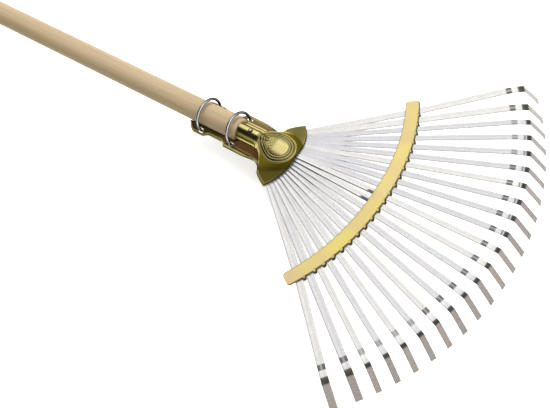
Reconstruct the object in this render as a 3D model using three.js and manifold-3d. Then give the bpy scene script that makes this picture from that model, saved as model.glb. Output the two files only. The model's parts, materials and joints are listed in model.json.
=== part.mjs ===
// Leaf rake: a fan of flat spring-steel tines held in a pressed steel head on a wooden handle.
//
// Millimetres, +Z up. The rake is drawn in its fan frame: the lines of the tines meet at the origin, +X runs
// forward from there between the middle tines, and the tips bend down towards -Z. The finished rake is then
// tilted and moved so that it lies on the ground at Z = 0, on its outer tine tips and the butt of its handle.

import * as THREE from 'three';
import { mergeVertices } from 'three/addons/utils/BufferGeometryUtils.js';
import Module from 'manifold-3d';

const wasm = await Module();
wasm.setup();

const { lerp, smoothstep, clamp, degToRad } = THREE.MathUtils;

// ---- Driving dimensions -------------------------------------------------------------------------------------

const GAP = 0.3; // clearance between neighbouring pieces

// Fan of tines
const TINE_COUNT = 22;
const FAN_ANGLE = degToRad(80); // between the outermost tines
const FAN_TURN = degToRad(0.5); // the fan sits this much askew in the head, turned towards +Y
const TINE_WIDTH = 6.6;
const EDGE_TINE_WIDTH = 8.4; // the two outermost tines on each side
const EDGE_TINES = 2;
const TINE_THICKNESS = 0.7;
const ROOT_RADIUS = 51.5; // where the tines begin, inside the head
const BEND_RADIUS = 284; // where a tine begins to curve down
const TOP_TINE = 11; // the tine that lies on top of the stack in the head
const TOP_TINE_HEIGHT = 7; // its height where the stack is measured
const STACK_RADIUS = 55; // where the stack is measured
const STACK_STEP = 1.1; // each tine lies this much lower than its inner neighbour
const SPLAY_RADIUS = 195; // beyond the brace, the outermost tine on each side is splayed outwards
const EDGE_SPLAY = degToRad(2.5);
const CURVE_LENGTH = 22.5;
const CURVE_ANGLE = degToRad(13); // slope at the end of the gentle curve
const CORNER_BEND_RADIUS = 2.4;
const TIP_ANGLE = degToRad(61); // slope of the straight tip
const TIP_LENGTH = 33;

// Cross brace, a strip along an arc
const BRACE_CENTRE_X = -89;
const BRACE_REAR_RADIUS = 248;
const BRACE_FRONT_RADIUS = 266;
const BRACE_END_ANGLE = degToRad(30.3);
const BRACE_THICKNESS = 0.9;
const BRACE_CORNER = 4;
const LIP_START_RADIUS = 259; // where the front lip begins to turn down between the tines
const LIP_DROP = 4.6;
const LOWER_STRIP_INSET = 1; // the lower strip starts this far in front of the upper one's rear edge
const LOWER_STRIP_WIDTH = 9.5;

// Handle: thick wood with a rounded shoulder, and a narrower spigot that enters the head
const HANDLE_RADIUS = 14;
const HANDLE_LENGTH = 1300;
const HANDLE_PITCH = degToRad(1.5); // the axis rises this much towards the fan
const HANDLE_AXIS_Z = 6; // height of the axis at X = 0
const SPIGOT_RADIUS = 8.7;
const SPIGOT_FRONT_X = 6;
const SHOULDER_X = -19;
const BUTT_ROUNDING = 4; // the butt's flat face is this much smaller all round

// Head: channel, wings, tongue and mouth
const SHEET = 1.1; // thickness of the pressed steel
const CHANNEL_REAR_X = -84;
const WING_SLOPE = degToRad(50);
const REAR_WING = 22.8; // half-widths of the wings
const REAR_CORNER = 7.5; // radius of a rear lobe's corners
const WAIST_WING = 20;
const FRONT_WING = 25;
const NECK_WING = 24;
const RIM_START_Y = 21.5; // a front wing slopes down to here, and its rim is nearly flat from here
const RIM_HEIGHT = -0.5;
const LIP_HEIGHT = 1.2; // the edges of the wings turn down by this much
const TONGUE_RADIUS = 9.7;
const TONGUE_TOP_Z = 17.2; // at X = 0
const TONGUE_HALF_ANGLE = degToRad(80);
const FLANGE_HALF_WIDTH = 12.4;
const FLANGE_HEIGHT = 9.3;
const BLEND_START_X = 5; // the channel and the tongue begin to spread here
const MOUTH_BLEND_RADIUS = 14; // the mouth's rows that they spread into start here
const MOUTH_BACK_RADIUS = 42; // and are fully spread here
const COVER_FRONT_RADIUS = 60;
const BASE_FRONT_RADIUS = 59;
const MOUTH_OFFSET = 2; // from the middle of the stack to either sheet
const MOUTH_EDGE_ANGLE = degToRad(47); // half-angle of the mouth at its front corners
const MOUTH_TURN = degToRad(1.5); // the mouth's middle is turned this much towards +Y
const MOUTH_CROWDING = 1.06; // moves the points across its lower half towards the sides
const MOUTH_SIDE_SPREAD = degToRad(0.38); // the half-angle grows by this for each millimetre back
const MEDALLION_CENTRE_X = 33;
const MEDALLION_HALF_LENGTH = 26;
const MEDALLION_HALF_WIDTH = 20;
const MEDALLION_SLOPE = 0.135;
const MEDALLION_PLATEAU = 0.85; // the plateau reaches this share of the way to the medallion's outline
const MEDALLION_SIDE_SLOPE = 16; // and from there it falls this much per share
const MEDALLION_CROWN = 75; // the plateau falls by the square of the distance from its middle over this

// The channel's section: round up to an angle from straight down, then a fold with a radius of its own
const WOOD_CHANNEL = { radius: HANDLE_RADIUS + GAP, arc: degToRad(74), fold: 1.5 };
const SPIGOT_CHANNEL = { radius: SPIGOT_RADIUS + GAP, arc: degToRad(86), fold: 2.6 };

// Clamp rings and the nail. A ring swings about the line through its two slots, which passes below its centre.
const WIRE_RADIUS = 1.75;
const RING_RADIUS = 20;
const RING_RISE = 6; // from the hinge line to the ring's centre
const REAR_RING = { x: -67.1, z: -2.8, lean: degToRad(7) };
const FRONT_RING = { x: -21, z: -0.4, lean: degToRad(13) };
const SLOT_HALF_LENGTH = 3.7;
const SLOT_HALF_WIDTH = 2.1;
const NAIL_X = -2.3;
const NAIL_RADIUS = 1.2;
const NAIL_HEAD_RADIUS = 2.8;
const NAIL_HEAD_HEIGHT = 1.5;
const NAIL_LENGTH = 15;

// ---- Materials ----------------------------------------------------------------------------------------------

const wood = () => new THREE.MeshStandardMaterial({ color: 0xcdb991, roughness: 0.6, metalness: 0 });
const brass = () => new THREE.MeshStandardMaterial({ color: 0xa08a3c, roughness: 0.25, metalness: 1 });
const gold = () => new THREE.MeshStandardMaterial({ color: 0xdfc25a, roughness: 0.4, metalness: 1 });
const zinc = () => new THREE.MeshStandardMaterial({ color: 0xd9d8d6, roughness: 0.3, metalness: 1 });
const chrome = () => new THREE.MeshStandardMaterial({ color: 0xc8ccd0, roughness: 0.15, metalness: 1 });

// ---- Geometry helpers ---------------------------------------------------------------------------------------

// A geometry from points and triangles, its faces turned to point out.
function closedGeometry(points, triangles) {
  const volume = triangles.reduce((sum, [a, b, c]) => {
    return sum + points[a].dot(new THREE.Vector3().crossVectors(points[b], points[c]));
  }, 0);
  const index = triangles.flatMap(([a, b, c]) => (volume < 0 ? [a, c, b] : [a, b, c]));
  const geometry = new THREE.BufferGeometry();
  geometry.setAttribute('position', new THREE.Float32BufferAttribute(points.flatMap((p) => p.toArray()), 3));
  geometry.setIndex(index);
  return geometry;
}

// Joins closed loops of the same number of points into a solid with flat ends.
function loftLoops(loops) {
  const size = loops[0].length;
  const triangles = [];
  for (let i = 0; i + 1 < loops.length; i += 1) {
    for (let j = 0; j < size; j += 1) {
      const a = i * size + j;
      const b = i * size + ((j + 1) % size);
      triangles.push([a, b, b + size], [a, b + size, a + size]);
    }
  }
  const last = (loops.length - 1) * size;
  for (let j = 1; j + 1 < size; j += 1) {
    triangles.push([0, j + 1, j], [last, last + j, last + j + 1]);
  }
  return closedGeometry(loops.flat(), triangles);
}

// Gives a grid of points on a sheet's upper face its thickness, measured square to the sheet.
function sheetSolid(grid, thickness) {
  const rows = grid.length;
  const columns = grid[0].length;
  const lower = grid.map((row, i) => row.map((point, j) => {
    const along = grid[Math.min(i + 1, rows - 1)][j].clone().sub(grid[Math.max(i - 1, 0)][j]);
    const across = row[Math.min(j + 1, columns - 1)].clone().sub(row[Math.max(j - 1, 0)]);
    return along.cross(across).setLength(thickness).negate().add(point);
  }));
  const at = (face, i, j) => (face * rows + i) * columns + j;
  const triangles = [];
  const quad = (a, b, c, d) => triangles.push([a, b, c], [a, c, d]);
  for (let i = 0; i + 1 < rows; i += 1) {
    for (let j = 0; j + 1 < columns; j += 1) {
      quad(at(0, i, j), at(0, i + 1, j), at(0, i + 1, j + 1), at(0, i, j + 1));
      quad(at(1, i, j), at(1, i, j + 1), at(1, i + 1, j + 1), at(1, i + 1, j));
    }
    quad(at(0, i, 0), at(1, i, 0), at(1, i + 1, 0), at(0, i + 1, 0));
    quad(at(0, i, columns - 1), at(0, i + 1, columns - 1), at(1, i + 1, columns - 1), at(1, i, columns - 1));
  }
  for (let j = 0; j + 1 < columns; j += 1) {
    quad(at(0, 0, j), at(0, 0, j + 1), at(1, 0, j + 1), at(1, 0, j));
    quad(at(0, rows - 1, j), at(1, rows - 1, j), at(1, rows - 1, j + 1), at(0, rows - 1, j + 1));
  }
  return closedGeometry([...grid.flat(), ...lower.flat()], triangles);
}

function toManifold(geometry) {
  const bare = geometry.clone();
  bare.deleteAttribute('normal');
  bare.deleteAttribute('uv');
  const merged = mergeVertices(bare);
  return new wasm.Manifold(new wasm.Mesh({
    numProp: 3,
    vertProperties: new Float32Array(merged.attributes.position.array),
    triVerts: new Uint32Array(merged.index.array),
  }));
}

// Cuts each tool out of a geometry.
function cutAll(geometry, tools) {
  const solid = tools.reduce((left, tool) => left.subtract(toManifold(tool)), toManifold(geometry));
  const mesh = solid.getMesh();
  const result = new THREE.BufferGeometry();
  result.setAttribute('position', new THREE.Float32BufferAttribute(mesh.vertProperties, 3));
  result.setIndex([...mesh.triVerts]);
  return result;
}

function named(name, geometry, material) {
  const mesh = new THREE.Mesh(geometry, material);
  mesh.name = name;
  return mesh;
}

// ---- Fan of tines -------------------------------------------------------------------------------------------

const TINE_PITCH = FAN_ANGLE / (TINE_COUNT - 1);
const MIDDLE_INDEX = (TINE_COUNT + 1) / 2;

// Tines count from 1 on the +Y side, and the index may lie between two tines.
const tineAngle = (index) => (MIDDLE_INDEX - index) * TINE_PITCH;
const tineIndexAt = (x, y) => MIDDLE_INDEX - Math.atan2(y, x) / TINE_PITCH;
const isEdgeTine = (tine) => tine <= EDGE_TINES || tine > TINE_COUNT - EDGE_TINES;
const tineWidth = (tine) => (isEdgeTine(tine) ? EDGE_TINE_WIDTH : TINE_WIDTH);

// The stack is highest at the top tine and falls off to both sides. Rounding lets a smooth sheet follow it.
function stackHeight(index, rounding = 0) {
  const steps = Math.abs(index - TOP_TINE);
  return TOP_TINE_HEIGHT - STACK_STEP * Math.hypot(steps, rounding);
}

// Each tine runs straight from its height in the stack to height 0 at the bend.
const stackShare = (radius) => (BEND_RADIUS - radius) / (BEND_RADIUS - STACK_RADIUS);

// Points and slopes along the middle of a tine: a straight run, a gentle curve, a sharp corner, a straight tip.
function tineStations(tine) {
  const fall = Math.atan(stackHeight(tine) / (BEND_RADIUS - STACK_RADIUS));
  const stations = [
    { radius: ROOT_RADIUS, height: stackHeight(tine) * stackShare(ROOT_RADIUS), slope: fall },
    { radius: SPLAY_RADIUS, height: stackHeight(tine) * stackShare(SPLAY_RADIUS), slope: fall },
    { radius: BEND_RADIUS, height: 0, slope: fall },
  ];
  const bend = (endSlope, length, steps) => {
    const start = stations[stations.length - 1].slope;
    for (let i = 0; i < steps; i += 1) {
      const previous = stations[stations.length - 1];
      const middle = lerp(start, endSlope, (i + 0.5) / steps);
      stations.push({
        radius: previous.radius + (length / steps) * Math.cos(middle),
        height: previous.height - (length / steps) * Math.sin(middle),
        slope: lerp(start, endSlope, (i + 1) / steps),
      });
    }
  };
  bend(CURVE_ANGLE, CURVE_LENGTH, 4);
  bend(TIP_ANGLE, CORNER_BEND_RADIUS * (TIP_ANGLE - CURVE_ANGLE), 4);
  bend(TIP_ANGLE, TIP_LENGTH, 1);
  return stations;
}

// How far the middle of a tine lies to the left of its straight line.
function tineShift(tine, radius) {
  const outwards = Math.max(0, radius - SPLAY_RADIUS) * Math.tan(EDGE_SPLAY);
  const sideSign = (tine === 1 ? 1 : 0) - (tine === TINE_COUNT ? 1 : 0);
  return sideSign * outwards;
}

function tineGeometry(tine) {
  const angle = tineAngle(tine);
  const forward = new THREE.Vector3(Math.cos(angle), Math.sin(angle), 0);
  const side = new THREE.Vector3(-Math.sin(angle), Math.cos(angle), 0);
  const loops = tineStations(tine).map(({ radius, height, slope }) => {
    const centre = forward.clone().multiplyScalar(radius).setZ(height).addScaledVector(side, tineShift(tine, radius));
    const up = forward.clone().multiplyScalar(Math.sin(slope)).setZ(Math.cos(slope));
    return [[-1, -1], [1, -1], [1, 1], [-1, 1]].map(([across, above]) => centre.clone()
      .addScaledVector(side, (across * tineWidth(tine)) / 2)
      .addScaledVector(up, (above * TINE_THICKNESS) / 2));
  });
  return loftLoops(loops);
}

// ---- Cross brace --------------------------------------------------------------------------------------------

// Where the line of a tine index crosses one of the brace's arcs.
function braceCrossing(index, arcRadius) {
  const angle = tineAngle(index);
  const along = BRACE_CENTRE_X * Math.cos(angle);
  const radius = along + Math.sqrt(along ** 2 + arcRadius ** 2 - BRACE_CENTRE_X ** 2);
  return new THREE.Vector3(radius * Math.cos(angle), radius * Math.sin(angle), 0);
}

function braceEndPoint(sideSign, fromEnd, arcRadius) {
  const angle = sideSign * (BRACE_END_ANGLE - fromEnd / BRACE_REAR_RADIUS);
  return new THREE.Vector3(BRACE_CENTRE_X + arcRadius * Math.cos(angle), arcRadius * Math.sin(angle), 0);
}

// Columns across the brace: the rounded ends, both edges of every tine and the gaps between them. dip is how far
// the front lip turns down there, from 0 over a tine to 1 in the middle of a gap.
function braceColumns() {
  const columns = [];
  const ends = [0, 0.5, 1.5, BRACE_CORNER];
  const addEnds = (sideSign, distances) => distances.forEach((fromEnd) => columns.push({
    inset: BRACE_CORNER - Math.sqrt(BRACE_CORNER ** 2 - (BRACE_CORNER - fromEnd) ** 2),
    dip: 0,
    at: (arcRadius) => braceEndPoint(sideSign, fromEnd, arcRadius),
  }));
  const addIndex = (index, dip) => columns.push({
    inset: 0,
    dip,
    at: (arcRadius) => braceCrossing(index, arcRadius),
  });
  const halfShare = (tine) => (tineWidth(tine) / 2 + 2 * GAP)
    / (braceCrossing(tine, BRACE_FRONT_RADIUS).length() * TINE_PITCH);
  addEnds(1, ends);
  for (let tine = 1; tine <= TINE_COUNT; tine += 1) {
    addIndex(tine - halfShare(tine), 0);
    addIndex(tine + halfShare(tine), 0);
    if (tine < TINE_COUNT) {
      const start = tine + halfShare(tine);
      const end = tine + 1 - halfShare(tine + 1);
      [0.25, 0.5, 0.75].forEach((part) => {
        addIndex(lerp(start, end, part), (1 - Math.cos(2 * Math.PI * part)) / 2);
      });
    }
  }
  addEnds(-1, ends.reverse());
  return columns;
}

// Height of the stack at a point of the brace.
function braceStackHeight(point, rounding) {
  return stackHeight(tineIndexAt(point.x, point.y), rounding) * stackShare(Math.hypot(point.x, point.y));
}

function braceGrid(rearRadius, rows, heightAt) {
  return braceColumns().map(({ at, inset, dip }) => rows.map((arcRadius) => {
    const middle = (rearRadius + rows[rows.length - 1]) / 2;
    const point = at(arcRadius + inset * Math.sign(middle - arcRadius));
    return point.setZ(heightAt(point, arcRadius, dip));
  }));
}

function braceUpperGeometry() {
  const rows = [BRACE_REAR_RADIUS, 254, LIP_START_RADIUS, 261, 263, 264.7, BRACE_FRONT_RADIUS];
  const clearance = TINE_THICKNESS / 2 + GAP + BRACE_THICKNESS;
  const grid = braceGrid(BRACE_REAR_RADIUS, rows, (point, arcRadius, dip) => {
    const turned = smoothstep(arcRadius, LIP_START_RADIUS, BRACE_FRONT_RADIUS);
    return braceStackHeight(point, 0) + STACK_STEP / 4 + clearance - LIP_DROP * turned * dip;
  });
  return sheetSolid(grid, BRACE_THICKNESS);
}

function braceLowerGeometry() {
  const rear = BRACE_REAR_RADIUS + LOWER_STRIP_INSET;
  const grid = braceGrid(rear, [rear, rear + LOWER_STRIP_WIDTH], (point) => {
    return braceStackHeight(point, 0.5) - TINE_THICKNESS / 2 - GAP;
  });
  return sheetSolid(grid, BRACE_THICKNESS);
}

// ---- Head ---------------------------------------------------------------------------------------------------

const axisHeight = (x) => HANDLE_AXIS_Z + x * Math.tan(HANDLE_PITCH);

// Half-width of the wings along the head: a rounded rear lobe, a narrower waist and the full width in front.
function wingHalfWidth(x) {
  const lobeArc = clamp(CHANNEL_REAR_X + REAR_CORNER - x, 0, REAR_CORNER);
  const rounding = REAR_CORNER - Math.sqrt(REAR_CORNER ** 2 - lobeArc ** 2);
  const rear = lerp(REAR_WING, WAIST_WING, smoothstep(x, -62, -56));
  const front = lerp(FRONT_WING, NECK_WING, smoothstep(x, -5, 9));
  return lerp(rear, front, smoothstep(x, -36, -29)) - rounding;
}

// Points across the channel and its wings at x, from -Y to +Y, on the face towards the handle. The channel
// narrows from the thick wood to the spigot.
function channelSection(x) {
  const narrowed = smoothstep(x, SHOULDER_X + GAP, -10);
  const radius = lerp(WOOD_CHANNEL.radius, SPIGOT_CHANNEL.radius, narrowed);
  const arc = lerp(WOOD_CHANNEL.arc, SPIGOT_CHANNEL.arc, narrowed);
  const fold = lerp(WOOD_CHANNEL.fold, SPIGOT_CHANNEL.fold, narrowed);
  const axis = axisHeight(x);
  const half = [];
  const arcSteps = 4;
  for (let i = 0; i <= arcSteps; i += 1) {
    const angle = (i / arcSteps) * arc;
    half.push([radius * Math.sin(angle), axis - radius * Math.cos(angle)]);
  }
  const foldSteps = 4;
  for (let i = 1; i <= foldSteps; i += 1) {
    const angle = lerp(arc, -WING_SLOPE, i / foldSteps);
    half.push([
      (radius + fold) * Math.sin(arc) - fold * Math.sin(angle),
      axis - (radius + fold) * Math.cos(arc) + fold * Math.cos(angle),
    ]);
  }
  const [startY, startZ] = half[half.length - 1];
  const edgeY = wingHalfWidth(x);
  const sloping = (y) => [y, startZ - (y - startY) * Math.tan(WING_SLOPE)];
  const rimmed = smoothstep(x, -36, -29);
  const between = (a, b, share) => a.map((value, i) => lerp(value, b[i], share));
  const knee = between(sloping(lerp(startY, edgeY, 0.6)), [RIM_START_Y, RIM_HEIGHT], rimmed);
  const edge = between(sloping(edgeY), [edgeY, RIM_HEIGHT - 0.5], rimmed);
  half.push(between([startY, startZ], knee, 0.5), knee, edge, [edge[0] + 0.3, edge[1] - LIP_HEIGHT]);
  const mirrored = half.slice(1).reverse().map(([y, z]) => [-y, z]);
  return [...mirrored, ...half].map(([y, z]) => new THREE.Vector3(x, y, z));
}

const mouthHalfAngle = (radius) => MOUTH_EDGE_ANGLE + (COVER_FRONT_RADIUS - radius) * MOUTH_SIDE_SPREAD;

// Height of the middle of the stack inside the mouth, carried on to its edges.
function mouthHeight(radius, angle, rounding) {
  const index = MIDDLE_INDEX - (angle - FAN_TURN) / TINE_PITCH;
  return stackHeight(index, rounding) * stackShare(Math.max(radius, MOUTH_BACK_RADIUS));
}

// The raised medallion: a sloping, slightly crowned plateau with steep sides.
function medallionHeight(x, y) {
  const top = TONGUE_TOP_Z - MEDALLION_SLOPE * (x - BLEND_START_X) - y ** 2 / MEDALLION_CROWN;
  const lengthwise = Math.max(0, x - MEDALLION_CENTRE_X) / MEDALLION_HALF_LENGTH;
  const halfWidth = lerp(TONGUE_RADIUS, MEDALLION_HALF_WIDTH, clamp(x / MEDALLION_CENTRE_X, 0, 1));
  const reach = Math.hypot(lengthwise, y / halfWidth);
  return top - MEDALLION_SIDE_SLOPE * Math.max(0, reach - MEDALLION_PLATEAU);
}

// Blends a row of points along the head into a row of the mouth, where share runs from 0 to 1.
function blendRows(channelRow, mouthRow, share) {
  return channelRow.map((point, j) => point.clone().lerp(mouthRow[j], smoothstep(share, 0, 1)));
}

// Rows from the back of a head sheet to its front: along the handle, spreading out, and round the mouth.
function headRows(rearX, frontRadius, channelRow, mouthRow, straightSteps) {
  const rows = [];
  for (let i = 0; i < straightSteps; i += 1) {
    rows.push(channelRow(lerp(rearX, BLEND_START_X, i / straightSteps)));
  }
  const blendSteps = 9;
  for (let i = 0; i < blendSteps; i += 1) {
    const share = i / blendSteps;
    const x = lerp(BLEND_START_X, MOUTH_BACK_RADIUS, share);
    rows.push(blendRows(channelRow(x), mouthRow(lerp(MOUTH_BLEND_RADIUS, MOUTH_BACK_RADIUS, share)), share));
  }
  const mouthSteps = 5;
  for (let i = 0; i <= mouthSteps; i += 1) {
    rows.push(mouthRow(lerp(MOUTH_BACK_RADIUS, frontRadius, i / mouthSteps)));
  }
  return rows;
}

function coverMouthRow(radius) {
  const steps = 24;
  return Array.from({ length: steps + 1 }, (unused, j) => {
    const angle = MOUTH_TURN + (2 * (j / steps) - 1) * mouthHalfAngle(radius);
    const x = radius * Math.cos(angle);
    const y = radius * Math.sin(angle);
    const sheet = mouthHeight(radius, angle, 0) + MOUTH_OFFSET + SHEET;
    return new THREE.Vector3(x, y, Math.max(sheet, medallionHeight(x, y)));
  });
}

// Points across the tongue at x: an arch over the spigot with a narrow flange on both sides.
function tongueRow(x) {
  const rise = x * Math.tan(HANDLE_PITCH);
  const centreZ = TONGUE_TOP_Z - TONGUE_RADIUS;
  const arc = (share) => [
    TONGUE_RADIUS * Math.sin(share * TONGUE_HALF_ANGLE),
    centreZ + TONGUE_RADIUS * Math.cos(share * TONGUE_HALF_ANGLE),
  ];
  const [startY, startZ] = arc(1);
  const half = [];
  for (let i = 0; i <= 8; i += 1) {
    half.push(arc(i / 8));
  }
  for (let i = 1; i <= 4; i += 1) {
    half.push([lerp(startY, FLANGE_HALF_WIDTH, i / 4), lerp(startZ, FLANGE_HEIGHT, i / 4)]);
  }
  const mirrored = half.slice(1).reverse().map(([y, z]) => [-y, z]);
  return [...mirrored, ...half].map(([y, z]) => new THREE.Vector3(x, y, z + rise));
}

function coverGeometry() {
  const sheet = sheetSolid(headRows(SHOULDER_X, COVER_FRONT_RADIUS, tongueRow, coverMouthRow, 4), SHEET);
  return cutAll(sheet, [nailHole(TONGUE_TOP_Z)]);
}

// Points across the lower half of the mouth. The outermost ones stand up beside the edge tines, and the others
// reach nearly as far out.
function baseMouthRow(radius) {
  const points = channelSection(0);
  const last = points.length - 1;
  return points.map((unused, j) => {
    const part = clamp(MOUTH_CROWDING * (2 * (j / last) - 1), -1, 1);
    const angle = MOUTH_TURN + part * mouthHalfAngle(radius);
    const low = mouthHeight(radius, angle, 0.5) - MOUTH_OFFSET;
    const rise = Math.abs(part) === 1 ? 2 * MOUTH_OFFSET - GAP : 0;
    return new THREE.Vector3(radius * Math.cos(angle), radius * Math.sin(angle), low + rise);
  });
}

// A slot in a wing, where the wire of a ring passes through the sheet.
function ringSlot({ x, z }, sideSign) {
  const slot = new THREE.BoxGeometry(2 * SLOT_HALF_LENGTH, 2 * SLOT_HALF_WIDTH, 10);
  slot.translate(x, sideSign * Math.sqrt(RING_RADIUS ** 2 - RING_RISE ** 2), z);
  return slot;
}

function baseGeometry() {
  const sheet = sheetSolid(headRows(CHANNEL_REAR_X, BASE_FRONT_RADIUS, channelSection, baseMouthRow, 22), SHEET);
  const slots = [REAR_RING, FRONT_RING].flatMap((ring) => [ringSlot(ring, 1), ringSlot(ring, -1)]);
  return cutAll(sheet, slots);
}

// ---- Handle, nail and rings ---------------------------------------------------------------------------------

// The rounded edge of a turned shape at its front end (side 1) or its back end (side -1).
function roundedEdge(radius, end, rounding, side) {
  const steps = 4;
  const points = Array.from({ length: steps + 1 }, (unused, i) => {
    const angle = (i / steps) * (Math.PI / 2);
    return new THREE.Vector2(
      radius - rounding + rounding * Math.cos(angle),
      end - side * rounding * (1 - Math.sin(angle)),
    );
  });
  return side > 0 ? points : points.reverse();
}

// The hole for the nail, open upwards and downwards around a height.
function nailHole(height) {
  const hole = new THREE.CylinderGeometry(NAIL_RADIUS + GAP, NAIL_RADIUS + GAP, 2 * (NAIL_LENGTH + GAP), 12);
  hole.rotateX(Math.PI / 2);
  hole.translate(NAIL_X, 0, height);
  return hole;
}

// The handle is turned about its axis, from the butt to the front of the spigot.
function handleGeometry() {
  const front = SPIGOT_FRONT_X / Math.cos(HANDLE_PITCH);
  const shoulder = SHOULDER_X / Math.cos(HANDLE_PITCH);
  const turned = new THREE.LatheGeometry([
    new THREE.Vector2(0, front - HANDLE_LENGTH),
    ...roundedEdge(HANDLE_RADIUS, front - HANDLE_LENGTH, BUTT_ROUNDING, -1),
    ...roundedEdge(HANDLE_RADIUS, shoulder, 3.5, 1),
    new THREE.Vector2(SPIGOT_RADIUS, shoulder),
    ...roundedEdge(SPIGOT_RADIUS, front, 3, 1),
    new THREE.Vector2(0, front),
  ], 40);
  turned.rotateZ(-Math.PI / 2);
  turned.rotateY(-HANDLE_PITCH);
  turned.translate(0, 0, HANDLE_AXIS_Z);
  return cutAll(turned, [nailHole(TONGUE_TOP_Z)]);
}

function nailGeometry() {
  const profile = [
    new THREE.Vector2(0, -NAIL_LENGTH),
    new THREE.Vector2(NAIL_RADIUS, 3 - NAIL_LENGTH),
    new THREE.Vector2(NAIL_RADIUS, 0),
    new THREE.Vector2(NAIL_HEAD_RADIUS, 0),
  ];
  for (let i = 1; i <= 4; i += 1) {
    const angle = (i / 4) * (Math.PI / 2);
    profile.push(new THREE.Vector2(NAIL_HEAD_RADIUS * Math.cos(angle), NAIL_HEAD_HEIGHT * Math.sin(angle)));
  }
  profile[profile.length - 1].setX(0);
  const nail = new THREE.LatheGeometry(profile, 16);
  nail.rotateX(Math.PI / 2);
  nail.translate(NAIL_X, 0, TONGUE_TOP_Z + GAP / 2);
  return nail;
}

// A closed wire ring across the handle, placed by its hinge line and leaning back.
function clampRing(name, { x, z, lean }) {
  const geometry = new THREE.TorusGeometry(RING_RADIUS, WIRE_RADIUS, 8, 36);
  geometry.rotateY(Math.PI / 2);
  geometry.translate(0, 0, RING_RISE);
  const ring = named(name, geometry, chrome());
  ring.position.set(x, 0, z);
  ring.rotation.y = -lean;
  return ring;
}

// ---- Assembly -----------------------------------------------------------------------------------------------

// A piece of the fan, which is turned in the head.
function fanPiece(name, geometry, material) {
  const piece = named(name, geometry, material);
  piece.rotation.z = FAN_TURN;
  return piece;
}

const fan = new THREE.Group();
fan.add(named('handle', handleGeometry(), wood()));
fan.add(named('handle_nail', nailGeometry(), zinc()));
fan.add(named('socket_base', baseGeometry(), brass()));
fan.add(named('head_cover', coverGeometry(), brass()));
fan.add(clampRing('rear_ring', REAR_RING));
fan.add(clampRing('front_ring', FRONT_RING));
fan.add(fanPiece('brace_upper', braceUpperGeometry(), gold()));
fan.add(fanPiece('brace_lower', braceLowerGeometry(), gold()));
for (let tine = 1; tine <= TINE_COUNT; tine += 1) {
  fan.add(fanPiece(`tine_${String(tine).padStart(2, '0')}`, tineGeometry(tine), zinc()));
}

// The rake lies on the butt of its handle and on the lowest of its tips.
const buttEdge = new THREE.Vector3(-HANDLE_LENGTH + BUTT_ROUNDING + SPIGOT_FRONT_X, 0, -HANDLE_RADIUS)
  .applyAxisAngle(new THREE.Vector3(0, 1, 0), -HANDLE_PITCH);
const tipTilts = Array.from({ length: TINE_COUNT }, (unused, i) => {
  const tip = tineStations(i + 1).pop();
  const angle = tineAngle(i + 1) + FAN_TURN;
  const shift = tineShift(i + 1, tip.radius);
  const forward = tip.radius * Math.cos(angle) - shift * Math.sin(angle) - buttEdge.x;
  return Math.atan2(HANDLE_AXIS_Z + buttEdge.z - tip.height, forward);
});
fan.rotation.y = -Math.max(...tipTilts);

const rake = new THREE.Group();
rake.add(fan);
rake.updateMatrixWorld(true);
const bounds = new THREE.Box3().setFromObject(rake, true);
const centre = bounds.getCenter(new THREE.Vector3());
rake.position.set(-centre.x, -centre.y, -bounds.min.z);

export default rake;
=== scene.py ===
"""Leaf rake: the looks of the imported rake, with its floor, light and camera.

Shapes are worked out in millimetres in the fan frame: the lines of the tines meet at its
origin, +X runs forward along the handle as seen from above, +Y to the left and +Z up.
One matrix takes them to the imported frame, in metres.
"""

import functools
import json
import math

import bmesh
import bpy
import numpy as np
from mathutils import Euler, Matrix, Vector


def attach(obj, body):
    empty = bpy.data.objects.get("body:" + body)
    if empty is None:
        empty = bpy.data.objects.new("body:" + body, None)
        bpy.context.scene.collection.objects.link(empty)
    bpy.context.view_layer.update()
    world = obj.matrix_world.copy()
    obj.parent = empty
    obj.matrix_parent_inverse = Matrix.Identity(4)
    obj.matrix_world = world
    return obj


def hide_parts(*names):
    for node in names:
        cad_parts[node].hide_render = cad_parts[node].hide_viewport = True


# ---- Dimensions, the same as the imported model's, in millimetres and degrees ----

METRES_PER_MM = 0.001
GAP = 0.3

TINE_COUNT = 22
FAN_ANGLE = 80.0
FAN_TURN = math.radians(0.5)  # the fan sits this much askew in the head
TINE_WIDTH = 6.6
EDGE_TINE_WIDTH = 8.4
EDGE_TINES = 2
TINE_THICKNESS = 0.7
ROOT_RADIUS = 51.5
BEND_RADIUS = 284.0
TOP_TINE = 11
TOP_TINE_HEIGHT = 7.0
STACK_RADIUS = 55.0
STACK_STEP = 1.1
SPLAY_RADIUS = 195.0  # beyond the brace, the outermost tine on each side is splayed outwards
EDGE_SPLAY = math.radians(2.5)
CURVE_LENGTH = 22.5
CURVE_ANGLE = 13.0
CORNER_BEND_RADIUS = 2.4
TIP_ANGLE = 61.0
TIP_LENGTH = 33.0

BRACE_CENTRE_X = -89.0
BRACE_REAR_RADIUS = 248.0
BRACE_FRONT_RADIUS = 266.0
BRACE_END_ANGLE = 30.3
BRACE_THICKNESS = 0.9
BRACE_CORNER = 4.0
LIP_START_RADIUS = 261.5
LIP_DROP = 4.4
SCALLOP = 1.8  # the front edge stands back by this much over the tines
LOWER_STRIP_INSET = 1.0
LOWER_STRIP_WIDTH = 9.5

HANDLE_RADIUS = 14.0
HANDLE_LENGTH = 1300.0
HANDLE_PITCH = math.radians(1.5)
HANDLE_AXIS_Z = 6.0
SPIGOT_RADIUS = 8.7
SPIGOT_FRONT_X = 6.0
SHOULDER_X = -19.0
BUTT_ROUNDING = 4.0

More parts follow.
